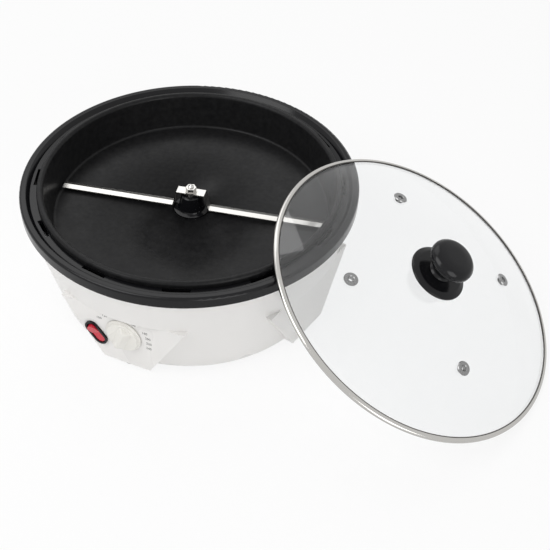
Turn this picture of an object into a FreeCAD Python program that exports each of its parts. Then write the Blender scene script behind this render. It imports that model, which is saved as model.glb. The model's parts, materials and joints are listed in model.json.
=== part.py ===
import FreeCAD, Part
import math
import os
import Sketcher
from FreeCAD import Placement, Rotation, Vector

# Home coffee bean roaster. Millimetres, +Z up. The origin is on the roaster's axis at the underside
# of the bottom cover, and azimuths are counted from +X towards +Y. The feet reach below the origin.

DIMENSIONS = {
    # housing
    "wall": 2.6,
    "base_radius": 121,
    "top_radius": 142,
    "housing_low": 2,
    "housing_high": 97,
    "floor_opening": 104,
    "leg_face": 127,
    "leg_inner": 112,
    "leg_low_half": 22,
    "leg_high_half": 56.5,
    "leg_high": 58.5,
    "cover_radius": 109,
    "cover_thick": 2,
    "foot_radius": 8,
    "foot_high": 3,
    # ring
    "ring_radius": 145,
    "ring_low": 97,
    "ring_high": 107,
    "rib_inner": 134.2,
    "rib_outer": 137.2,
    "rib_low": 92,
    "gutter_high": 103.4,
    "gutter_low": 100.8,
    "gutter_inner": 128.4,
    "gutter_outer": 136.4,
    "slot_radius": 132.9,
    "slot_length": 22,
    "slot_wide": 3.4,
    # pan
    "pan_floor": 75,
    "pan_floor_radius": 121.5,
    "pan_lip": 109,
    "pan_lip_radius": 125.4,
    "pan_rim_radius": 130.6,
    "pan_thick": 1.5,
    "pan_round": 5,
    # heat shield and heater
    "shield_floor": 58,
    "shield_thick": 1.2,
    "shield_low_radius": 121,
    "shield_high_radius": 130,
    "heater_radius": 88,
    "heater_tube": 4,
    # drive
    "motor_radius": 27,
    "motor_low": 12,
    "gear_low": 38,
    "gear_high": 50,
    "bracket_radius": 37,
    "shaft_radius": 4,
    "stud_radius": 2.5,
    "hub_base": 11.5,
    "hub_top": 8,
    "hub_high": 90,
    "hub_skirt": 15.5,
    # stirring arm
    "arm_half_length": 118,
    "arm_wide": 8.6,
    "arm_thick": 1.2,
    "arm_low": 77.4,
    "arm_crown": 1.3,
    "hat_high": 93.6,
    "hat_half": 11.5,
    "hat_foot": 15.5,
    # controls
    "dial_radius": 18,
    "dial_high": 5,
    "dial_grip": 13,
    "dial_centre": 35,
    "dial_shaft": 3,
    "switch_length": 25,
    "switch_wide": 13,
    # lid
    "lid_radius": 134,
    "lid_rise": 30,
    "glass_thick": 3.4,
    "band_high": 4.2,
    "vent_circle": 80,
    "vent_radius": 6,
    "knob_flange": 25,
    "knob_cap": 19.5,
    "knob_stem": 9,
    "knob_high": 27,
}
PANEL_AZIMUTH = -112.0
LEG_TURNS = {"front": 0, "right": 78, "rear": 180, "left": -78}
ARM_AZIMUTH = -10.7
SWITCH_ANGLE = -54.0
SWITCH_ACROSS = -26.5
SWITCH_UP = 27.0
ROCKER_TILT = 10.0
RUNNING = 0.05
LID_AZIMUTH = -21.7
LID_TILT = 28.0
LID_CENTRE = Vector(194.2, -82.1, 62.0)
VENT_PHASE = 42.7
SLOTS = 12

doc = FreeCAD.newDocument("Roaster")
sheet = doc.addObject("Spreadsheet::Sheet", "Dims")
size = {}
for row, (alias, value) in enumerate(DIMENSIONS.items(), start=1):
    sheet.set(f"A{row}", alias)
    sheet.set(f"B{row}", str(value))
    sheet.setAlias(f"B{row}", alias)
    size[alias] = float(value)
doc.recompute()
nodes = {}


def bind(obj, **expressions):
    """Ties properties of an object to expressions in the sheet's aliases."""
    for prop, text in expressions.items():
        obj.setExpression(prop, with_sheet(text))
    return obj


def with_sheet(text):
    """The expression with each alias written as a reference to the sheet."""
    words = sorted(size, key=len, reverse=True)
    out = ""
    i = 0
    while i < len(text):
        word = next((w for w in words if text.startswith(w, i)), None)
        inside = i > 0 and (text[i - 1].isalnum() or text[i - 1] in "._")
        if word and not inside:
            out += "Dims." + word
            i += len(word)
        else:
            out += text[i]
            i += 1
    return out


def value(text):
    """The number that an expression in the sheet's aliases stands for."""
    return float(sheet.evalExpression(with_sheet(text)))


def place(obj, pose=Placement(), at=(0, 0, 0), axis=(0, 0, 1), degrees=0):
    """Puts an object at a place and turn that are given in the frame of a pose."""
    obj.Placement = pose * Placement(Vector(*at), Rotation(Vector(*axis), degrees))
    return obj


def cylinder(name, radius, height, pose=Placement(), at=(0, 0, 0), axis=(0, 0, 1), degrees=0):
    solid = bind(doc.addObject("Part::Cylinder", name), Radius=radius, Height=height)
    return place(solid, pose, at, axis, degrees)


def cone(name, low, high, height, pose=Placement(), at=(0, 0, 0)):
    solid = bind(doc.addObject("Part::Cone", name), Radius1=low, Radius2=high, Height=height)
    return place(solid, pose, at)


def box(name, length, width, height, pose=Placement(), at=(0, 0, 0), axis=(0, 0, 1), degrees=0):
    """A box centred on its length and width, standing on the place given."""
    solid = bind(doc.addObject("Part::Box", name), Length=length, Width=width, Height=height)
    spin = Placement(Vector(*at), Rotation(Vector(*axis), degrees))
    half = Vector(-value(length) / 2, -value(width) / 2, 0)
    solid.Placement = pose * spin * Placement(half, Rotation())
    return solid


def cut(name, base, *tools):
    """The base less every tool."""
    result = base
    for i, tool in enumerate(tools):
        step = doc.addObject("Part::Cut", name if i == len(tools) - 1 else f"{name}_step{i}")
        step.Base = result
        step.Tool = tool
        result = step
    return result


def fuse(name, *shapes):
    joined = doc.addObject("Part::MultiFuse", name)
    joined.Shapes = list(shapes)
    joined.Refine = True
    return joined


def common(name, base, tool):
    both = doc.addObject("Part::Common", name)
    both.Base = base
    both.Tool = tool
    return both


def origin_plane(body, role):
    return next(f for f in body.Origin.OriginFeatures if f.Role == role)


def outline(sketch, points):
    """Draws a closed outline whose corners are bound to the sheet by their expressions."""
    spots = [Vector(value(x), value(y), 0) for x, y in points]
    count = len(spots)
    for i in range(count):
        sketch.addGeometry(Part.LineSegment(spots[i], spots[(i + 1) % count]), False)
    for i in range(count):
        sketch.addConstraint(Sketcher.Constraint("Coincident", i, 2, (i + 1) % count, 1))
    for i, (x, y) in enumerate(points):
        for kind, text, number in (("DistanceX", x, spots[i].x), ("DistanceY", y, spots[i].y)):
            if abs(number) < 1e-9:
                line = -2 if kind == "DistanceX" else -1
                sketch.addConstraint(Sketcher.Constraint("PointOnObject", i, 1, line))
            else:
                at = sketch.addConstraint(Sketcher.Constraint(kind, -1, 1, i, 1, number))
                sketch.setExpression(f"Constraints[{at}]", with_sheet(text))


def profile_body(name, points, role="XZ_Plane"):
    """A body with one sketch of a closed outline on an origin plane."""
    body = doc.addObject("PartDesign::Body", name)
    sketch = body.newObject("Sketcher::SketchObject", name + "_outline")
    sketch.AttachmentSupport = [(origin_plane(body, role), "")]
    sketch.MapMode = "FlatFace"
    outline(sketch, points)
    return body, sketch


def revolved(name, points, pose=Placement()):
    """A body turned about its vertical axis from an outline of (radius, height) corners."""
    body, sketch = profile_body(name, points)
    turn = body.newObject("PartDesign::Revolution", name + "_turn")
    turn.Profile = sketch
    turn.ReferenceAxis = (sketch, ["V_Axis"])
    turn.Angle = 360
    body.Placement = pose
    doc.recompute()
    return body


def round_circles(body, radius, *circles):
    """Rounds the circular edges that lie at the given (radius, height) pairs in the body's frame."""
    base = body.Tip
    names = []
    for i, edge in enumerate(base.Shape.Edges, start=1):
        curve = edge.Curve
        if not isinstance(curve, Part.Circle):
            continue
        for r, z in circles:
            if abs(curve.Radius - r) < 0.05 and abs(curve.Center.z - z) < 0.05:
                names.append(f"Edge{i}")
    fillet = body.newObject("PartDesign::Fillet", f"{body.Name}_round{len(body.Group)}")
    fillet.Base = (base, names)
    fillet.Radius = radius
    body.Tip = fillet
    doc.recompute()
    return body


def padded(name, points, length, pose=Placement(), role="XZ_Plane"):
    """A body made from an outline drawn across, and pushed out evenly to both sides."""
    body, sketch = profile_body(name, points, role)
    pad = body.newObject("PartDesign::Pad", name + "_pad")
    pad.Profile = sketch
    pad.setExpression("Length", with_sheet(length))
    pad.Midplane = True
    body.Placement = pose
    doc.recompute()
    return body


def keep(node, obj):
    """Names an object as a finished piece of the roaster."""
    obj.Label = node
    nodes[node] = obj
    return obj


def facing(azimuth):
    """A frame on the roaster's axis: X across, Y up the face, Z outward at an azimuth."""
    turn = Rotation(Vector(0, 0, 1), azimuth + 90) * Rotation(Vector(1, 0, 0), 90)
    return Placement(Vector(), turn)


def trapezoid(name, pose, low_half, high_half, low, high, near, far):
    """An upright block whose face is wider at the top, from one distance off the axis to another."""
    block = doc.addObject("Part::Wedge", name)
    bind(
        block,
        Xmin=f"-({low_half})",
        Xmax=low_half,
        X2min=f"-({high_half})",
        X2max=high_half,
        Ymin=low,
        Ymax=high,
        Zmin=near,
        Zmax=far,
        Z2min=near,
        Z2max=far,
    )
    return place(block, pose)


def make_housing():
    """The tapering shell: a cone with four flat-faced legs, the front one carrying the controls."""
    height = "housing_high - housing_low"
    low = size["housing_low"]
    outer = cone("shell_outer", "base_radius", "top_radius", height, at=(0, 0, low))
    inner = cone(
        "shell_inner",
        "base_radius - wall",
        "top_radius - wall",
        "housing_high - housing_low",
        at=(0, 0, low + size["wall"]),
    )
    opening = cylinder("shell_opening", "floor_opening", "10", at=(0, 0, low - 1))
    beyond_faces = []
    within_faces = []
    legs = []
    hollows = []
    for i, turn in enumerate(LEG_TURNS.values()):
        pose = facing(PANEL_AZIMUTH + turn)
        sides = ("leg_low_half", "leg_high_half", "0", "leg_high")
        beyond_faces.append(trapezoid(f"beyond{i}", pose, *sides, "leg_face", "leg_face + 30"))
        legs.append(trapezoid(f"leg{i}", pose, *sides, "leg_inner", "leg_face"))
        thick = ("leg_low_half + wall", "leg_high_half + wall", "0", "leg_high + wall")
        within_faces.append(
            trapezoid(f"within{i}", pose, *thick, "leg_face - wall", "leg_face + 30")
        )
        thin = ("leg_low_half - wall", "leg_high_half - 1.5 * wall", "2 * wall", "leg_high - wall")
        hollows.append(trapezoid(f"hollow{i}", pose, *thin, "leg_inner - 8", "leg_face - wall"))
    skin = fuse("skin", cut("cone_cut", outer, *beyond_faces), *legs)
    room = fuse("room", cut("room_cut", inner, *within_faces), *hollows)
    face = facing(PANEL_AZIMUTH)
    reach = size["leg_face"]
    shaft_hole = cylinder(
        "shaft_hole", "dial_shaft + 0.8", "20", face, (0, size["dial_centre"], reach - 12)
    )
    window = oval("window", "switch_length - 1.6", "switch_wide - 1.6", "20", switch_pose(-12))
    gland_hole = cylinder("gland_hole", "5", "30", gland_pose(), (0, 0, -18))
    pilots = [cylinder(f"pilot{i}", "1.6", "8", screw_place(i), (106, 0, 0)) for i in range(6)]
    keep("housing", cut("housing", skin, room, opening, shaft_hole, window, gland_hole, *pilots))


def screw_place(index):
    """The frame that turns to each of the bottom cover's six screws."""
    return around(60 * index + 20)


def switch_pose(depth=0.0):
    """The oval switch's frame: X along the oval, Z outward, on the panel's face."""
    centre = Vector(SWITCH_ACROSS, SWITCH_UP, size["leg_face"] + depth)
    return facing(PANEL_AZIMUTH) * Placement(centre, Rotation(Vector(0, 0, 1), SWITCH_ANGLE))


def gland_pose():
    """The rear cord inlet's frame, Z outward square to the tapering wall, above the rear leg."""
    return facing(PANEL_AZIMUTH + 135) * Placement(Vector(0, 22, 125.4), Rotation(Vector(1, 0, 0), 12))


def oval(name, length, width, height, pose):
    """An upright block with straight sides and round ends."""
    middle = box(name + "_middle", f"{length} - ({width})", width, height, pose)
    shift = (value(length) - value(width)) / 2
    ends = [
        cylinder(f"{name}_end{i}", f"({width}) / 2", height, pose, (side * shift, 0, 0))
        for i, side in enumerate((-1, 1))
    ]
    return fuse(name, middle, *ends)


def make_base():
    """The vented bottom cover, its screws and the four rubber feet."""
    plate = cylinder("cover_plate", "cover_radius", "cover_thick")
    slots = []
    for ring, count in ((46, 12), (66, 18), (86, 24)):
        for i in range(count):
            turn = Placement(Vector(), Rotation(Vector(0, 0, 1), 360 * i / count))
            slots.append(box(f"vent{ring}_{i}", "12", "3", "6", turn, (ring, 0, -2)))
    vents = fuse("cover_vents", *slots)
    vents.Refine = False
    holes = [cylinder(f"screw_hole{i}", "2", "8", screw_place(i), (106, 0, -3)) for i in range(6)]
    keep("bottom_cover", cut("bottom_cover", plate, vents, *holes))
    for i in range(6):
        pose = screw_place(i)
        head = cone(f"screw_head{i}", "3.4", "2.2", "1.1", pose, (106, 0, -1.1))
        shank = cylinder(f"screw_shank{i}", "1.5", "6.2", pose, (106, 0, -0.2))
        driver = box(f"screw_drive{i}", "4.4", "0.8", "0.6", pose, (106, 0, -1.2))
        keep(f"cover_screw_{i + 1}", cut(f"cover_screw{i}", fuse(f"screw{i}", head, shank), driver))
    for side, turn in LEG_TURNS.items():
        pose = around(PANEL_AZIMUTH + turn)
        low = (118, 0, -size["foot_high"])
        pad = cone(f"pad_{side}", "foot_radius - 0.8", "foot_radius", "foot_high", pose, low)
        keep(f"foot_{side}", pad)


def around(azimuth):
    """A frame on the roaster's axis whose X points out at an azimuth."""
    return Placement(Vector(), Rotation(Vector(0, 0, 1), azimuth))


def make_ring():
    """The black top ring: skirt, sloping inner flank, slotted gutter and the rib inside the housing."""
    corners = (
        ("ring_radius", "ring_low"),
        ("ring_radius", "ring_high"),
        ("ring_radius - 5.5", "ring_high"),
        ("gutter_outer", "gutter_high"),
        ("gutter_inner", "gutter_high"),
        ("gutter_inner", "gutter_low"),
        ("rib_inner", "gutter_low"),
        ("rib_inner", "rib_low"),
        ("rib_outer", "rib_low"),
        ("rib_outer", "ring_low"),
    )
    ring = revolved("ring_turned", corners)
    round_circles(ring, 2.2, (size["ring_radius"], size["ring_high"]))
    round_circles(ring, 1.2, (size["ring_radius"] - 5.5, size["ring_high"]))
    slots = []
    for i in range(SLOTS):
        pose = around(360 * i / SLOTS)
        middle = box(f"slot{i}", "slot_wide", "slot_length", "8", pose, (size["slot_radius"] - 0.8, 0, 97))
        slots.append(middle)
    keep("top_ring", cut("top_ring", ring, *slots))


def make_pan():
    """The coated roasting pan with a rolled lip, and the hub round the drive shaft."""
    corners = (
        ("hub_top - 1", "pan_floor - pan_thick"),
        ("pan_floor_radius", "pan_floor - pan_thick"),
        ("pan_lip_radius + 1.2", "pan_lip - 3"),
        ("pan_rim_radius - 2", "pan_lip - 3"),
        ("pan_rim_radius - 1.4", "gutter_high"),
        ("pan_rim_radius", "gutter_high"),
        ("pan_rim_radius", "pan_lip - 2"),
        ("pan_rim_radius - 2.2", "pan_lip"),
        ("pan_lip_radius + 0.4", "pan_lip"),
        ("pan_lip_radius - 0.6", "pan_lip - 2"),
        ("pan_floor_radius - 1", "pan_floor"),
        ("hub_top - 1", "pan_floor"),
    )
    pan = revolved("pan_turned", corners)
    round_circles(pan, size["pan_round"], (size["pan_floor_radius"] - 1, size["pan_floor"]))
    round_circles(pan, 1.0, (size["pan_rim_radius"] - 2.2, size["pan_lip"]))
    keep("roasting_pan", pan)
    hub_corners = (
        (f"shaft_radius + {RUNNING}", "pan_floor"),
        ("hub_skirt", "pan_floor"),
        ("hub_skirt", "pan_floor + 1.2"),
        ("hub_base + 0.6", "pan_floor + 2"),
        ("hub_base", "pan_floor + 3"),
        ("hub_top + 0.8", "hub_high"),
        ("hub_top", "hub_high + 0.8"),
        (f"shaft_radius + {RUNNING}", "hub_high + 0.8"),
    )
    keep("shaft_hub", revolved("hub_turned", hub_corners))


def make_heat():
    """The heat shield hung from the ring's rib, the ring heater and the posts that carry it."""
    corners = (
        ("13", "shield_floor"),
        ("shield_low_radius", "shield_floor"),
        ("shield_high_radius", "rib_low - shield_thick"),
        ("rib_outer - 0.4", "rib_low - shield_thick"),
        ("rib_outer - 0.4", "rib_low"),
        ("shield_high_radius - shield_thick", "rib_low"),
        ("shield_low_radius - shield_thick", "shield_floor + shield_thick"),
        ("13", "shield_floor + shield_thick"),
    )
    keep("heat_shield", revolved("shield_turned", corners))
    ring = doc.addObject("Part::Torus", "heater_ring")
    bind(ring, Radius1="heater_radius", Radius2="heater_tube")
    top = size["pan_floor"] - size["pan_thick"]
    place(ring, at=(0, 0, top - size["heater_tube"]))
    keep("heater", ring)
    for i in range(3):
        post = cylinder(
            f"heater_post{i}",
            "3",
            "pan_floor - pan_thick - 2 * heater_tube - shield_floor - shield_thick",
            around(120 * i + 45),
            (size["heater_radius"], 0, size["shield_floor"] + size["shield_thick"]),
        )
        keep(f"heater_post_{i + 1}", post)


def make_drive():
    """The gear motor on its bracket, and the shaft with its threaded stud."""
    can = cylinder("motor_can", "motor_radius", "gear_low - motor_low", at=(0, 0, size["motor_low"]))
    keep("motor_can", can)
    gears = cylinder("gear_case", "motor_radius + 1.5", "gear_high - gear_low", at=(0, 0, size["gear_low"]))
    bore = cylinder("gear_bore", f"shaft_radius + {RUNNING}", "9", at=(0, 0, size["gear_high"] - 8))
    keep("gearbox", cut("gearbox", gears, bore))
    plate = cylinder("bracket_plate", "bracket_radius", "1.6", at=(0, 0, size["gear_high"]))
    hole = cylinder("bracket_hole", "9", "5", at=(0, 0, size["gear_high"] - 1))
    posts = [
        cylinder(
            f"bracket_post{i}",
            "3",
            "shield_floor - gear_high",
            around(120 * i + 15),
            (32, 0, size["gear_high"]),
        )
        for i in range(3)
    ]
    keep("motor_bracket", fuse("motor_bracket", cut("bracket_disc", plate, hole), *posts))
    corners = (
        ("0", "gear_high - 7"),
        ("shaft_radius", "gear_high - 7"),
        ("shaft_radius", "hat_high - arm_thick"),
        ("stud_radius", "hat_high - arm_thick"),
        ("stud_radius", "hat_high + 5.4"),
        ("0", "hat_high + 7.4"),
    )
    keep("drive_shaft", revolved("shaft_turned", corners))


def make_arm():
    """The stirring arm: a bent strip over the hub, with two crowned blades just above the floor."""
    pose = around(ARM_AZIMUTH)
    corners = (
        ("-hat_foot", "arm_low"),
        ("-hat_half", "hat_high - arm_thick"),
        ("hat_half", "hat_high - arm_thick"),
        ("hat_foot", "arm_low"),
        ("hat_foot + 2", "arm_low"),
        ("hat_foot + 2", "arm_low + arm_thick"),
        ("hat_foot + 1.1", "arm_low + arm_thick"),
        ("hat_half + 0.9", "hat_high"),
        ("-hat_half - 0.9", "hat_high"),
        ("-hat_foot - 1.1", "arm_low + arm_thick"),
        ("-hat_foot - 2", "arm_low + arm_thick"),
        ("-hat_foot - 2", "arm_low"),
    )
    hat = padded("hat_bent", corners, "arm_wide", pose)
    section = (
        ("-arm_wide / 2", "arm_low"),
        ("0", "arm_low + arm_crown"),
        ("arm_wide / 2", "arm_low"),
        ("arm_wide / 2", "arm_low + arm_thick"),
        ("0", "arm_low + arm_crown + arm_thick"),
        ("-arm_wide / 2", "arm_low + arm_thick"),
    )
    blade = padded("blades_crowned", section, "2 * arm_half_length", pose, "YZ_Plane")
    gap = box("blade_gap", "2 * hat_foot + 1.6", "30", "30", pose, (0, 0, size["arm_low"] - 10))
    hole = cylinder("hat_hole", "stud_radius + 0.1", "8", at=(0, 0, size["hat_high"] - 4))
    joined = fuse("arm_joined", hat, cut("blades", blade, gap))
    keep("stirrer_arm", cut("stirrer_arm", joined, hole))
    washer = cylinder("washer_disc", "5.2", "0.9", at=(0, 0, size["hat_high"]))
    washer_hole = cylinder("washer_hole", "stud_radius + 0.1", "3", at=(0, 0, size["hat_high"] - 1))
    keep("arm_washer", cut("arm_washer", washer, washer_hole))
    hexagon = doc.addObject("Part::Prism", "nut_hexagon")
    hexagon.Polygon = 6
    hexagon.Circumradius = 4.62
    hexagon.Height = 3.6
    place(hexagon, at=(0, 0, size["hat_high"] + 0.9))
    nut_hole = cylinder("nut_hole", "stud_radius + 0.05", "8", at=(0, 0, size["hat_high"]))
    keep("arm_nut", cut("arm_nut", hexagon, nut_hole))


def make_dial():
    """The thermostat behind the panel, its shaft and the round dial with a raised grip."""
    face = facing(PANEL_AZIMUTH)
    reach = size["leg_face"]
    up = size["dial_centre"]
    back = reach - size["wall"]
    body = cylinder("thermostat_body", "15", "14", face, (0, up, back - 14))
    bore = cylinder("thermostat_bore", f"dial_shaft + {RUNNING}", "12", face, (0, up, back - 10))
    keep("thermostat", cut("thermostat", body, bore))
    stem = cylinder("thermostat_stem", "dial_shaft", "15.4", face, (0, up, back - 9))
    keep("thermostat_shaft", stem)
    pose = face * Placement(Vector(0, up, reach + 0.5), Rotation())
    disc = revolved(
        "dial_turned",
        (
            ("0", "0"),
            ("dial_radius", "0"),
            ("dial_radius", "2.2"),
            ("dial_radius - 1.2", "dial_high"),
            ("0", "dial_high"),
        ),
        pose,
    )
    grip = padded(
        "dial_grip",
        (
            ("-6.4", "dial_high - 1"),
            ("6.4", "dial_high - 1"),
            ("2.2", "dial_grip"),
            ("-2.2", "dial_grip"),
        ),
        "2 * dial_radius - 5",
        pose * Placement(Vector(), Rotation(Vector(0, 0, 1), 48)),
    )
    socket = cylinder("dial_socket", "dial_shaft", "4.4", pose, (0, 0, -1))
    keep("dial", cut("dial", fuse("dial_joined", disc, grip), socket))


def make_switch():
    """The oval rocker switch: bezel and body in one, and the rocker on its cross axis."""
    pose = switch_pose()
    bezel = oval("bezel", "switch_length", "switch_wide", "1.8", switch_pose())
    body = oval("switch_body", "switch_length - 2", "switch_wide - 2", "13", switch_pose(-13))
    well = oval("switch_well", "switch_length - 3.8", "switch_wide - 3.8", "11", switch_pose(-8))
    keep("switch_body", cut("switch_case", fuse("switch_solid", bezel, body), well))
    tilted = pose * Placement(Vector(0, 0, -1), Rotation(Vector(0, 1, 0), ROCKER_TILT))
    reach = "(switch_length - 5.8) / 2"
    profile = padded(
        "rocker_profile",
        (
            (f"-{reach}", "-3.2"),
            (reach, "-3.2"),
            (reach, "3.8"),
            ("0", "2.2"),
            (f"-{reach}", "3.8"),
        ),
        "switch_wide",
        tilted,
    )
    sides = oval(
        "rocker_sides",
        "switch_length - 5.8",
        "switch_wide - 4.6",
        "12",
        tilted * Placement(Vector(0, 0, -5), Rotation()),
    )
    keep("rocker", common("rocker", profile, sides))


def make_gland():
    """The cord inlet's bush in the rear wall; the cord itself isn't part of the model."""
    pose = gland_pose()
    flange = cylinder("gland_flange", "8", "2.4", pose, (0, 0, 0.4))
    neck = cylinder("gland_neck", "4.8", "9", pose, (0, 0, -6))
    bore = cylinder("gland_bore", "3", "30", pose, (0, 0, -15))
    keep("cord_gland", cut("cord_gland", fuse("gland", flange, neck), bore))


def lid_pose():
    """The leaning lid's frame at its rim: Z out of the dome, X level."""
    turn = Rotation(Vector(0, 0, 1), LID_AZIMUTH + 90) * Rotation(Vector(1, 0, 0), LID_TILT)
    return Placement(LID_CENTRE, turn)


def make_lid():
    """The domed glass in its steel band, four vent grommets, and the knob with flange and screw."""
    pose = lid_pose()
    half = size["lid_radius"] - 1.2
    rise = size["lid_rise"]
    sphere_radius = (half * half + rise * rise) / (2 * rise)
    centre = (0, 0, rise - sphere_radius)
    outer = doc.addObject("Part::Sphere", "dome_outer")
    outer.Radius = sphere_radius
    place(outer, pose, centre)
    inner = doc.addObject("Part::Sphere", "dome_inner")
    inner.Radius = sphere_radius - size["glass_thick"]
    place(inner, pose, centre)
    column = cylinder("dome_column", "lid_radius - 1.2", "lid_rise + 5", pose, (0, 0, -2.2))
    vents = []
    for i in range(4):
        vents.append(cylinder(f"vent_bore{i}", "3.6", "24", vent_pose(i, sphere_radius), (0, 0, -12)))
    middle = cylinder("knob_bore", "4", "30", pose, (0, 0, rise - 15))
    dome = common("dome", cut("dome_shell", outer, inner), column)
    keep("lid_glass", cut("lid_glass", dome, middle, *vents))
    band = revolved(
        "band_turned",
        (
            ("lid_radius - 1.1", "-2.4"),
            ("lid_radius", "-1.8"),
            ("lid_radius", "band_high - 3"),
            ("lid_radius - 0.6", "band_high - 2.2"),
            ("lid_radius - 1.1", "band_high - 2.2"),
        ),
        pose,
    )
    keep("lid_band", band)
    for i in range(4):
        ring = revolved(
            f"grommet{i}",
            (
                ("2.2", "-4.2"),
                ("3.5", "-4.2"),
                ("3.5", "0.35"),
                ("vent_radius", "0.35"),
                ("vent_radius - 0.6", "1.3"),
                ("2.8", "1.5"),
                ("2.2", "1"),
            ),
            vent_pose(i, sphere_radius),
        )
        keep(f"vent_grommet_{i + 1}", ring)
    top = pose * Placement(Vector(0, 0, rise), Rotation())
    flange = revolved(
        "flange_turned",
        (
            ("4.2", "0.2"),
            ("knob_flange - 3", "0.2"),
            ("knob_flange", "-0.8"),
            ("knob_flange - 0.4", "0.9"),
            ("knob_flange - 5", "3"),
            ("4.2", "3.6"),
        ),
        top,
    )
    keep("knob_flange", flange)
    knob = revolved(
        "knob_turned",
        (
            ("2.6", "3.6"),
            ("knob_stem + 2", "3.6"),
            ("knob_stem", "6"),
            ("knob_stem", "11"),
            ("knob_stem + 3", "14"),
            ("knob_cap - 1", "16.4"),
            ("knob_cap", "18.6"),
            ("knob_cap - 0.2", "22"),
            ("knob_cap - 3.4", "knob_high - 1.3"),
            ("knob_cap - 10", "knob_high - 0.2"),
            ("0", "knob_high"),
            ("0", "16"),
            ("2.6", "16"),
        ),
        top,
    )
    keep("lid_knob", knob)
    screw = revolved(
        "lid_screw_turned",
        (
            ("0", "-7.4"),
            ("3", "-7.2"),
            ("5", "-5.8"),
            ("5", "-4.6"),
            ("9", "-4.6"),
            ("9", "-3.7"),
            ("2.5", "-3.7"),
            ("2.5", "15"),
            ("0", "15"),
        ),
        top,
    )
    keep("lid_screw", screw)


def vent_pose(index, sphere_radius):
    """A vent's frame on the glass's outer face, Z square to the glass."""
    lean = math.degrees(math.asin(size["vent_circle"] / sphere_radius))
    centre = Placement(Vector(0, 0, size["lid_rise"] - sphere_radius), Rotation())
    spin = Placement(Vector(), Rotation(Vector(0, 0, 1), VENT_PHASE + 90 * index))
    tip = Placement(Vector(), Rotation(Vector(0, 1, 0), lean))
    return lid_pose() * centre * spin * tip * Placement(Vector(0, 0, sphere_radius), Rotation())


make_housing()
make_base()
make_ring()
make_pan()
make_heat()
make_drive()
make_arm()
make_dial()
make_switch()
make_gland()
make_lid()
doc.recompute()

for obj in doc.Objects:
    if any(word in obj.State for word in ("Invalid", "Error")):
        raise RuntimeError(f"{obj.Name} is {obj.State}")
os.makedirs("parts", exist_ok=True)
for node, obj in nodes.items():
    shape = obj.Shape
    if shape.isNull() or not shape.isValid():
        raise RuntimeError(f"{node} has no valid shape")
    shape.exportStep(f"parts/{node}.step")
    low, high = shape.BoundBox.ZMin, shape.BoundBox.ZMax
    print(f"{node}: {len(shape.Solids)} solid, {shape.Volume / 1000:.2f} cm3, z {low:.1f} to {high:.1f}")
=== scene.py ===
import bmesh
import bpy
import json
import math
from mathutils import Matrix, Vector


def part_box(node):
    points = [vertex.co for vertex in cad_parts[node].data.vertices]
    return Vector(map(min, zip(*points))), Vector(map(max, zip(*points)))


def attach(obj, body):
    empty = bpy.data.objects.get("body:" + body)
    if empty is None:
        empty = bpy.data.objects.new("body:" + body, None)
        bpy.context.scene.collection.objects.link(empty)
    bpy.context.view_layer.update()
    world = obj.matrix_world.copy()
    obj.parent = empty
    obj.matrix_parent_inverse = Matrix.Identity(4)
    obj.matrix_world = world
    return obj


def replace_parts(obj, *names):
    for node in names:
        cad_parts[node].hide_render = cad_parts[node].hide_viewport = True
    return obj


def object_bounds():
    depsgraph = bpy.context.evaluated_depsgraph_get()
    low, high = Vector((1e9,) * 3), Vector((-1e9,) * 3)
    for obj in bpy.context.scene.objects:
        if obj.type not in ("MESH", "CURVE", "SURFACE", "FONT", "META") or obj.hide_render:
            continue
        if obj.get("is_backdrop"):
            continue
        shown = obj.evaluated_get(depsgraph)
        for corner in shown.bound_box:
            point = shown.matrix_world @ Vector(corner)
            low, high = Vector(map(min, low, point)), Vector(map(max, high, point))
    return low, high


# The dressed coffee bean roaster: finishes, turned pieces with round edges, dial numbers, studio.
# Lengths are written in millimetres and turned to metres where they are used.

MM = 0.001
ON_AXIS = 1e-6
SEGMENTS = 192

# The photograph's camera: frame and focal length in pixels, place, downward angle and small roll.
PHOTO_PIXELS = 550
FOCAL_PIXELS = 1000
SENSOR = 36.0
CAMERA_PLACE = Vector((75.4, -673.2, 648.6)) * MM
CAMERA_DOWN = math.radians(44.13)
CAMERA_ROLL = math.radians(1.97)
FAR_CLIP = 50

# Studio, in metres and watts.
FLOOR_SIZE = 8
FLOOR_GLOW = 0.86
WORLD_ON_OBJECT = 0.42
WORLD_SEEN = 1.0
LAMP_AIM = Vector((0.05, 0, 0.05))

# Pan: bore for the hub, sheet thickness, and how round its corners are.
HUB_BORE = 7.0
PAN_SHEET = 1.5
FLOOR_ROUND = 2.4
LIP_ROUND = 1.2
PAN_ARC_STEPS = 8

# Lid: the dome's rim radius and rise, the edges of its two faces, the knob's hole and the glass.
DOME_RIM = 132.8
DOME_RISE = 30.2
OUTER_EDGE = 132.2
INNER_EDGE = 131.4
KNOB_HOLE = 4.0
GLASS_THICK = 2.6

# Dial and its numbers: the grip's turn from the panel's upright, its heights, and the print.
GRIP_TURN = math.radians(-24.0)
GRIP_LOW = 2.6
GRIP_HIGH = 8.6
GRIP_ROUND = 1.3
NUMBER_HEIGHT = 3.4
PRINT_LIFT = 0.03

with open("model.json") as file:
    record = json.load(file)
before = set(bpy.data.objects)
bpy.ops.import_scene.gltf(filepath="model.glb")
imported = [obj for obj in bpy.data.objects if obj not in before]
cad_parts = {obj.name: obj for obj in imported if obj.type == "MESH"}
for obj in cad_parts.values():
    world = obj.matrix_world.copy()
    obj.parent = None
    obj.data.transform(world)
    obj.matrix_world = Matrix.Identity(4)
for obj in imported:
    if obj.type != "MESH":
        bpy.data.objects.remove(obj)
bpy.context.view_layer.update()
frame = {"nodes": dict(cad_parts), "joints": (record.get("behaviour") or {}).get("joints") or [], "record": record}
joints = {joint["name"]: joint for joint in frame["joints"]}
nodes = frame["nodes"]


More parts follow.
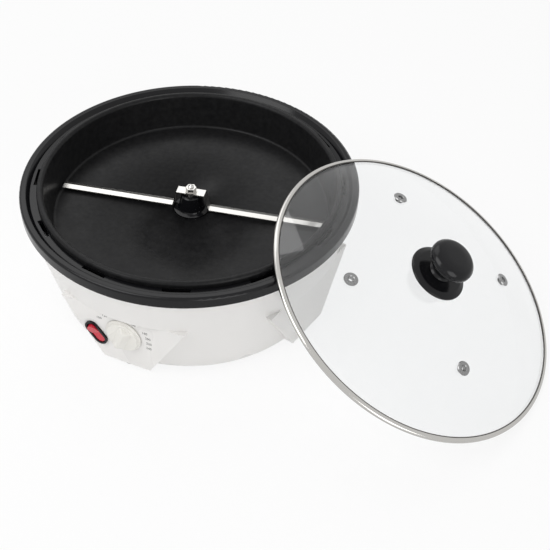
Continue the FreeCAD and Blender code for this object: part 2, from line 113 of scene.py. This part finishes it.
def material(name, color, roughness, metallic=0.0):
    """A principled material with its plain constants set on the shader's own sockets."""
    mat = bpy.data.materials.new(name)
    mat.use_nodes = True
    shader = mat.node_tree.nodes["Principled BSDF"]
    shader.inputs["Base Color"].default_value = (*color, 1)
    shader.inputs["Roughness"].default_value = roughness
    shader.inputs["Metallic"].default_value = metallic
    return mat, mat.node_tree, shader


def noise(tree, scale, detail=4.0, stretch=(1, 1, 1)):
    """Noise in the object's own metres, stretched along an axis where the grain runs."""
    place = tree.nodes.new("ShaderNodeTexCoord")
    mapping = tree.nodes.new("ShaderNodeMapping")
    mapping.inputs["Scale"].default_value = stretch
    texture = tree.nodes.new("ShaderNodeTexNoise")
    texture.inputs["Scale"].default_value = scale
    texture.inputs["Detail"].default_value = detail
    tree.links.new(place.outputs["Object"], mapping.inputs["Vector"])
    tree.links.new(mapping.outputs["Vector"], texture.inputs["Vector"])
    return texture.outputs["Fac"]


def spread(tree, source, low, high):
    """The source's 0.3 to 0.7 range mapped to low and high."""
    node = tree.nodes.new("ShaderNodeMapRange")
    node.inputs["From Min"].default_value = 0.3
    node.inputs["From Max"].default_value = 0.7
    node.inputs["To Min"].default_value = low
    node.inputs["To Max"].default_value = high
    tree.links.new(source, node.inputs["Value"])
    return node.outputs["Result"]


def tint(tree, shader, source, dark, light):
    """Colours the surface between two near shades by the source."""
    ramp = tree.nodes.new("ShaderNodeMix")
    ramp.data_type = "RGBA"
    ramp.inputs["A"].default_value = (*dark, 1)
    ramp.inputs["B"].default_value = (*light, 1)
    tree.links.new(spread(tree, source, 0, 1), ramp.inputs["Factor"])
    tree.links.new(ramp.outputs["Result"], shader.inputs["Base Color"])


def bump(tree, shader, source, strength, distance):
    """Raises the surface by the source, the distance in metres."""
    node = tree.nodes.new("ShaderNodeBump")
    node.inputs["Strength"].default_value = strength
    node.inputs["Distance"].default_value = distance
    tree.links.new(source, node.inputs["Height"])
    tree.links.new(node.outputs["Normal"], shader.inputs["Normal"])


def moulded(name, dark, light, roughness, grain=320, height=0.00002):
    """Moulded plastic: faint wide mottling, uneven gloss and a fine soft grain."""
    mat, tree, shader = material(name, light, roughness)
    tint(tree, shader, noise(tree, 9, 0), dark, light)
    rough = spread(tree, noise(tree, 14, 0), roughness * 0.9, roughness * 1.12)
    tree.links.new(rough, shader.inputs["Roughness"])
    bump(tree, shader, noise(tree, grain, 0), 0.1, height)
    return mat


def steel(name, color, roughness, stretch=(1, 1, 1), scale=700):
    """Metal with a fine grain that shows in its gloss and relief."""
    mat, tree, shader = material(name, color, roughness, 1.0)
    lines = noise(tree, scale, 3, stretch)
    tree.links.new(spread(tree, lines, roughness * 0.7, roughness * 1.4), shader.inputs["Roughness"])
    bump(tree, shader, lines, 0.12, 0.00002)
    return mat


def glossy_black():
    """The ring's and knob's black plastic, with its reflection held down."""
    mat = moulded("black plastic", (0.004, 0.004, 0.005), (0.007, 0.007, 0.008), 0.16)
    mat.node_tree.nodes["Principled BSDF"].inputs["Specular IOR Level"].default_value = 0.22
    return mat


def coating():
    """The pan's black coating: satin, with a fine leathery grain and faint lighter flecks."""
    mat, tree, shader = material("pan coating", (0.010, 0.010, 0.011), 0.34)
    shader.inputs["Specular IOR Level"].default_value = 0.13
    tint(tree, shader, noise(tree, 240, 6), (0.007, 0.007, 0.0075), (0.014, 0.014, 0.0145))
    tree.links.new(spread(tree, noise(tree, 90, 5), 0.28, 0.42), shader.inputs["Roughness"])
    bump(tree, shader, noise(tree, 420, 8), 0.5, 0.00022)
    return mat


def clear_glass():
    """Tempered lid glass, clear with a slight grey cast, and a faint smear in its gloss."""
    mat, tree, shader = material("lid glass", (0.93, 0.937, 0.94), 0.0)
    shader.inputs["Transmission Weight"].default_value = 1.0
    shader.inputs["IOR"].default_value = 1.47
    tree.links.new(spread(tree, noise(tree, 14), 0.0, 0.03), shader.inputs["Roughness"])
    return mat


WHITE = moulded("housing plastic", (0.815, 0.803, 0.785), (0.825, 0.813, 0.797), 0.3)
CREAM = moulded("dial plastic", (0.80, 0.785, 0.74), (0.82, 0.805, 0.76), 0.28)
BLACK = glossy_black()
RED = moulded("red plastic", (0.55, 0.016, 0.035), (0.62, 0.022, 0.045), 0.2)
RUBBER = moulded("rubber", (0.018, 0.018, 0.018), (0.035, 0.035, 0.035), 0.7, 600, 0.00008)
INK = moulded("dial ink", (0.02, 0.02, 0.02), (0.04, 0.04, 0.04), 0.5)
STEEL = steel("stainless", (0.55, 0.54, 0.52), 0.24, (6, 6, 6))
GROMMET = steel("grommet steel", (0.26, 0.26, 0.26), 0.28, (2, 2, 2))
BRIGHT = steel("bright steel", (0.50, 0.49, 0.47), 0.14, (2, 2, 2))
# Painted shade: a near-black finish for the thin lines inside the lid's band, standing in for the shade there.
DARK = moulded("rim shadow", (0.05, 0.045, 0.04), (0.07, 0.065, 0.06), 0.5)
ZINC = steel("zinc steel", (0.6, 0.61, 0.62), 0.35)
SHEET = steel("aluminium", (0.8, 0.8, 0.81), 0.3)
SHEATH = steel("heater sheath", (0.32, 0.30, 0.28), 0.45)
COAT = coating()
GLASS = clear_glass()

FINISHES = {
    "housing_plastic": WHITE,
    "stainless": STEEL,
    "foot_rubber": RUBBER,
    "black_plastic": BLACK,
    "pan_coating": COAT,
    "aluminium_sheet": SHEET,
    "heater_steel": SHEATH,
    "zinc_steel": ZINC,
    "dial_plastic": CREAM,
    "red_plastic": RED,
    "lid_glass": GLASS,
}


def dress_nodes():
    """Gives every CAD node the finish of its record slot, and the grommets a darker steel."""
    slots = {part["node"]: part["material_slot"] for part in frame["record"]["subparts"]}
    for name, node in nodes.items():
        node.data.materials.clear()
        finish = GROMMET if name.startswith("vent_grommet") else FINISHES[slots[name]]
        node.data.materials.append(finish)


def smooth_piece(name, bm, finish, pose, body):
    """Turns a finished bmesh into a smooth piece that rides on a body."""
    mesh = bpy.data.meshes.new(name)
    bm.to_mesh(mesh)
    bm.free()
    for face in mesh.polygons:
        face.use_smooth = True
    mesh.materials.append(finish)
    mesh.transform(pose)
    piece = bpy.data.objects.new(name, mesh)
    bpy.context.scene.collection.objects.link(piece)
    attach(piece, body)
    return piece


def turned_ring(bm, radius, height):
    """One circle of a turned piece, or a single point where it meets the axis."""
    if radius < ON_AXIS:
        return [bm.verts.new((0, 0, height * MM))]
    ring = []
    for i in range(SEGMENTS):
        angle = 2 * math.pi * i / SEGMENTS
        x = radius * MM * math.cos(angle)
        y = radius * MM * math.sin(angle)
        ring.append(bm.verts.new((x, y, height * MM)))
    return ring


def lathe(name, profile, finish, pose, body):
    """A turned piece from a closed outline of (radius, height) points in millimetres."""
    bm = bmesh.new()
    rings = [turned_ring(bm, radius, height) for radius, height in profile]
    for k, first in enumerate(rings):
        second = rings[(k + 1) % len(rings)]
        if len(first) == 1 and len(second) == 1:
            continue
        for i in range(SEGMENTS):
            j = (i + 1) % SEGMENTS
            corners = [
                first[i % len(first)],
                first[j % len(first)],
                second[j % len(second)],
                second[i % len(second)],
            ]
            bm.faces.new(list(dict.fromkeys(corners)))
    bmesh.ops.recalc_face_normals(bm, faces=bm.faces)
    return smooth_piece(name, bm, finish, pose, body)


def corner_arc(before, here, after, radius, steps):
    """A short arc in place of one corner of an outline."""
    p = Vector(here)
    back = Vector(before) - p
    ahead = Vector(after) - p
    reach = min(radius, back.length * 0.45, ahead.length * 0.45)
    start = p + back.normalized() * reach
    end = p + ahead.normalized() * reach
    arc = []
    for step in range(steps + 1):
        t = step / steps
        arc.append(tuple((1 - t) ** 2 * start + 2 * t * (1 - t) * p + t ** 2 * end))
    return arc


def rounded(corners, radius, steps=5):
    """The outline with each corner replaced by a short arc; a corner on the axis stays."""
    out = []
    for i, here in enumerate(corners):
        if here[0] < ON_AXIS:
            out.append(here)
            continue
        out.extend(corner_arc(corners[i - 1], here, corners[(i + 1) % len(corners)], radius, steps))
    return out


def dress_pan():
    """The pan as one smooth spun shell: floor, steep wall and rolled lip."""
    low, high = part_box("roasting_pan")
    bottom, lip = low.z / MM, high.z / MM
    rim = high.x / MM
    floor_corner = (rim - 10.1, bottom + PAN_SHEET)
    wall_and_lip = (
        (rim - 9.1, bottom),
        (rim - 4.0, lip - 3.0),
        (rim - 2.0, lip - 3.0),
        (rim - 1.4, lip - 5.6),
        (rim, lip - 5.6),
        (rim, lip - 2.0),
        (rim - 1.6, lip),
        (rim - 4.0, lip),
        (rim - 5.8, lip - 2.0),
        floor_corner,
    )
    corners = ((HUB_BORE, bottom), *wall_and_lip, (HUB_BORE, bottom + PAN_SHEET))
    outline = [corners[0]]
    for before, here, after in zip(corners, wall_and_lip, corners[2:]):
        soft = FLOOR_ROUND if here == floor_corner else LIP_ROUND
        outline.extend(corner_arc(before, here, after, soft, PAN_ARC_STEPS))
    outline.append(corners[-1])
    pan = lathe("pan_spun", outline, COAT, Matrix.Identity(4), "roaster")
    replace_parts(pan, "roasting_pan")


def lid_frame():
    """The lid's own frame at the middle of its steel band, its Z along the way that it lifts."""
    low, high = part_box("lid_band")
    out = Vector(joints["lid_lift"]["axis"]).normalized()
    level = Vector((0, 0, 1)).cross(out).normalized()
    up = out.cross(level)
    turn = Matrix((level, up, out)).transposed().to_4x4()
    return Matrix.Translation((low + high) / 2) @ turn


def dome(edge, offset, steps=40):
    """Points of the dome from an edge radius to the knob's hole, some way inside the outer face."""
    sphere = (DOME_RIM ** 2 + DOME_RISE ** 2) / (2 * DOME_RISE)
    points = []
    for step in range(steps + 1):
        r = edge * (1 - step / steps)
        if r > KNOB_HOLE:
            points.append((r, math.sqrt((sphere - offset) ** 2 - r ** 2) + DOME_RISE - sphere))
    return points


def dress_lid():
    """Glass dome, steel band, dark lines of painted shade inside it, flange and knob as smooth turned pieces."""
    pose = lid_frame()
    glass = dome(OUTER_EDGE, 0) + list(reversed(dome(INNER_EDGE, GLASS_THICK)))
    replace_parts(lathe("lid_dome", glass, GLASS, pose, "lid"), "lid_glass")
    band = rounded(
        ((130.8, -2.5), (133.2, -2.3), (134.0, -1.4), (134.0, 0.4), (133.2, 1.3), (130.8, 2.2),
         (130.8, 1.8), (132.7, 0.5), (132.7, -1.7), (130.8, -2.1)),
        0.5,
    )
    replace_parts(lathe("lid_rim", band, BRIGHT, pose, "lid"), "lid_band")
    # Painted shade: two thin dark turned rings inside the steel band stand in for the shade there.
    upper_line = ((129.9, 2.0), (130.9, 2.1), (130.9, 1.0), (129.9, 1.4))
    lathe("rim_painted_shade", upper_line, DARK, pose, "lid")
    lower_line = ((129.8, -1.6), (130.9, -1.4), (130.9, -2.2), (129.8, -2.2))
    lathe("rim_painted_shade_low", lower_line, DARK, pose, "lid")
    crown = pose @ Matrix.Translation((0, 0, DOME_RISE * MM))
    flange = rounded(
        ((4.2, 0.2), (22.0, 0.2), (25.0, -0.8), (24.6, 0.9), (20.0, 3.0), (4.2, 3.6)),
        0.8,
    )
    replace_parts(lathe("knob_base", flange, BLACK, crown, "lid"), "knob_flange")
    knob = rounded(
        ((0, 3.6), (11.0, 3.6), (9.0, 6.0), (9.0, 11.0), (12.0, 14.0), (18.5, 16.4), (19.5, 18.6),
         (19.3, 22.0), (16.1, 25.7), (9.5, 26.8), (0, 27.0)),
        2.2,
    )
    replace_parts(lathe("knob_cap", knob, BLACK, crown, "lid"), "lid_knob")


def panel_frame(across, up, out):
    """A frame on the control panel: millimetres from the dial's centre, Z out of the panel."""
    joint = joints["dial_turn"]
    away = Vector(joint["axis"]).normalized()
    side = Vector((0, 0, 1)).cross(away).normalized()
    turn = Matrix((side, Vector((0, 0, 1)), away)).transposed().to_4x4()
    shift = Matrix.Translation(Vector((across, up, out)) * MM)
    return Matrix.Translation(joint["pos_m"]) @ turn @ shift


def oblong(bm, half_wide, half_long, height):
    """Four corners of a level oblong round the axis, in millimetres."""
    spots = (
        (-half_wide, -half_long),
        (half_wide, -half_long),
        (half_wide, half_long),
        (-half_wide, half_long),
    )
    return [bm.verts.new((x * MM, y * MM, height * MM)) for x, y in spots]


def dress_dial():
    """The dial: a low turned disc on a thin skirt, and its soft grip bar across the face."""
    pose = panel_frame(0, 0, 0)
    disc = ((0, 0.5), (16.3, 0.5), (16.3, 1.7), (14.8, 2.0), (14.2, 4.2), (0, 4.6))
    turned = lathe("dial_disc", rounded(disc, 0.9), CREAM, pose, "dial")
    bm = bmesh.new()
    base = oblong(bm, 7.6, 12.2, GRIP_LOW)
    top = oblong(bm, 1.4, 11.0, GRIP_HIGH)
    bm.faces.new(reversed(base))
    bm.faces.new(top)
    for i in range(4):
        j = (i + 1) % 4
        bm.faces.new((base[i], base[j], top[j], top[i]))
    bmesh.ops.bevel(
        bm, geom=bm.edges[:], offset=GRIP_ROUND * MM, segments=4, profile=0.5, affect="EDGES"
    )
    aslant = pose @ Matrix.Rotation(GRIP_TURN, 4, "Z")
    bar = smooth_piece("dial_bar", bm, CREAM, aslant, "dial")
    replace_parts(turned, "dial")
    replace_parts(bar, "dial")


def print_number(number, pose):
    """Flat printed figures on the housing, centred on the pose."""
    name = f"scale_{number}"
    curve = bpy.data.curves.new(name, "FONT")
    curve.body = number
    curve.size = NUMBER_HEIGHT * MM
    curve.align_x = "CENTER"
    curve.align_y = "CENTER"
    curve.extrude = PRINT_LIFT * MM
    curve.materials.append(INK)
    piece = bpy.data.objects.new(name, curve)
    bpy.context.scene.collection.objects.link(piece)
    piece.matrix_world = pose
    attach(piece, "roaster")


def dress_panel():
    """Plain numbers round the dial, each at its place across and up from the dial's centre."""
    spots = {
        "0": (-20.5, -5.6),
        "100": (-22.5, 10.9),
        "120": (-16.8, 15.6),
        "140": (-4.1, 17.6),
        "160": (9.6, 16.2),
        "180": (20.0, 10.4),
        "200": (22.6, 5.0),
        "220": (23.2, -0.8),
        "240": (22.8, -6.6),
    }
    for number, (across, up) in spots.items():
        print_number(number, panel_frame(across, up, PRINT_LIFT))


def math_node(tree, operation, first, second):
    """A two-input maths node; the second input is a socket or a plain number."""
    node = tree.nodes.new("ShaderNodeMath")
    node.operation = operation
    tree.links.new(first, node.inputs[0])
    if isinstance(second, float):
        node.inputs[1].default_value = second
    else:
        tree.links.new(second, node.inputs[1])
    return node.outputs["Value"]


def seen_directly(tree):
    """1 for camera, glossy and transmitted rays, else 0."""
    path = tree.nodes.new("ShaderNodeLightPath")
    shown = math_node(tree, "MAXIMUM", path.outputs["Is Camera Ray"], path.outputs["Is Glossy Ray"])
    return math_node(tree, "MAXIMUM", shown, path.outputs["Is Transmission Ray"])


def surroundings():
    """White where it is seen or reflected, and a plain soft level of light on the object."""
    world = bpy.data.worlds.new("studio")
    bpy.context.scene.world = world
    world.use_nodes = True
    tree = world.node_tree
    back = tree.nodes["Background"]
    back.inputs["Color"].default_value = (1, 1, 1, 1)
    level = tree.nodes.new("ShaderNodeMapRange")
    level.inputs["To Min"].default_value = WORLD_ON_OBJECT
    level.inputs["To Max"].default_value = WORLD_SEEN
    tree.links.new(seen_directly(tree), level.inputs["Value"])
    tree.links.new(level.outputs["Result"], back.inputs["Strength"])


def pale_floor():
    """A pale floor under the feet that keeps the object's shadow."""
    floor_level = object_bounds()[0][2]
    bpy.ops.mesh.primitive_plane_add(size=FLOOR_SIZE, location=(0, 0, floor_level))
    floor = bpy.context.object
    floor.name = "floor"
    floor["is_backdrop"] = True
    mat, tree, shader = material("floor", (0.9, 0.9, 0.9), 0.8)
    tint(tree, shader, noise(tree, 3), (0.895, 0.895, 0.895), (0.905, 0.905, 0.905))
    glow = tree.nodes.new("ShaderNodeEmission")
    glow.inputs["Color"].default_value = (1, 1, 1, 1)
    mix = tree.nodes.new("ShaderNodeMixShader")
    share = math_node(tree, "MULTIPLY", seen_directly(tree), FLOOR_GLOW)
    tree.links.new(share, mix.inputs["Fac"])
    tree.links.new(shader.outputs["BSDF"], mix.inputs[1])
    tree.links.new(glow.outputs["Emission"], mix.inputs[2])
    tree.links.new(mix.outputs["Shader"], tree.nodes["Material Output"].inputs["Surface"])
    floor.data.materials.append(mat)


def lamp(name, place, width, power):
    """A square softbox that faces the roaster."""
    light = bpy.data.lights.new(name, "AREA")
    light.size = width
    light.energy = power
    piece = bpy.data.objects.new(name, light)
    bpy.context.scene.collection.objects.link(piece)
    piece.location = place
    aim = LAMP_AIM - Vector(place)
    piece.rotation_euler = aim.to_track_quat("-Z", "Y").to_euler()


def studio():
    """White surroundings, pale floor and large soft lamps."""
    bpy.context.scene.view_settings.view_transform = "Standard"
    surroundings()
    pale_floor()
    lamp("key", (-0.9, -0.6, 1.4), 1.1, 13)
    lamp("fill", (1.0, -1.8, 0.75), 1.1, 11)
    lamp("top", (-0.35, 0.9, 1.5), 1.2, 6)


def camera():
    """The photograph's camera, from its fitted place, downward angle and small roll."""
    data = bpy.data.cameras.new("camera")
    data.sensor_width = SENSOR
    data.lens = SENSOR * FOCAL_PIXELS / PHOTO_PIXELS
    data.clip_end = FAR_CLIP
    piece = bpy.data.objects.new("camera", data)
    bpy.context.scene.collection.objects.link(piece)
    right = Vector((1, 0, 0))
    up = Vector((0, math.sin(CAMERA_DOWN), math.cos(CAMERA_DOWN)))
    back = Vector((0, -math.cos(CAMERA_DOWN), math.sin(CAMERA_DOWN)))
    turned_right = math.cos(CAMERA_ROLL) * right + math.sin(CAMERA_ROLL) * up
    turned_up = math.cos(CAMERA_ROLL) * up - math.sin(CAMERA_ROLL) * right
    turn = Matrix((turned_right, turned_up, back)).transposed().to_4x4()
    piece.matrix_world = Matrix.Translation(CAMERA_PLACE) @ turn
    bpy.context.scene.camera = piece


dress_nodes()
dress_pan()
dress_lid()
dress_dial()
dress_panel()
studio()
camera()
bpy.context.view_layer.update()
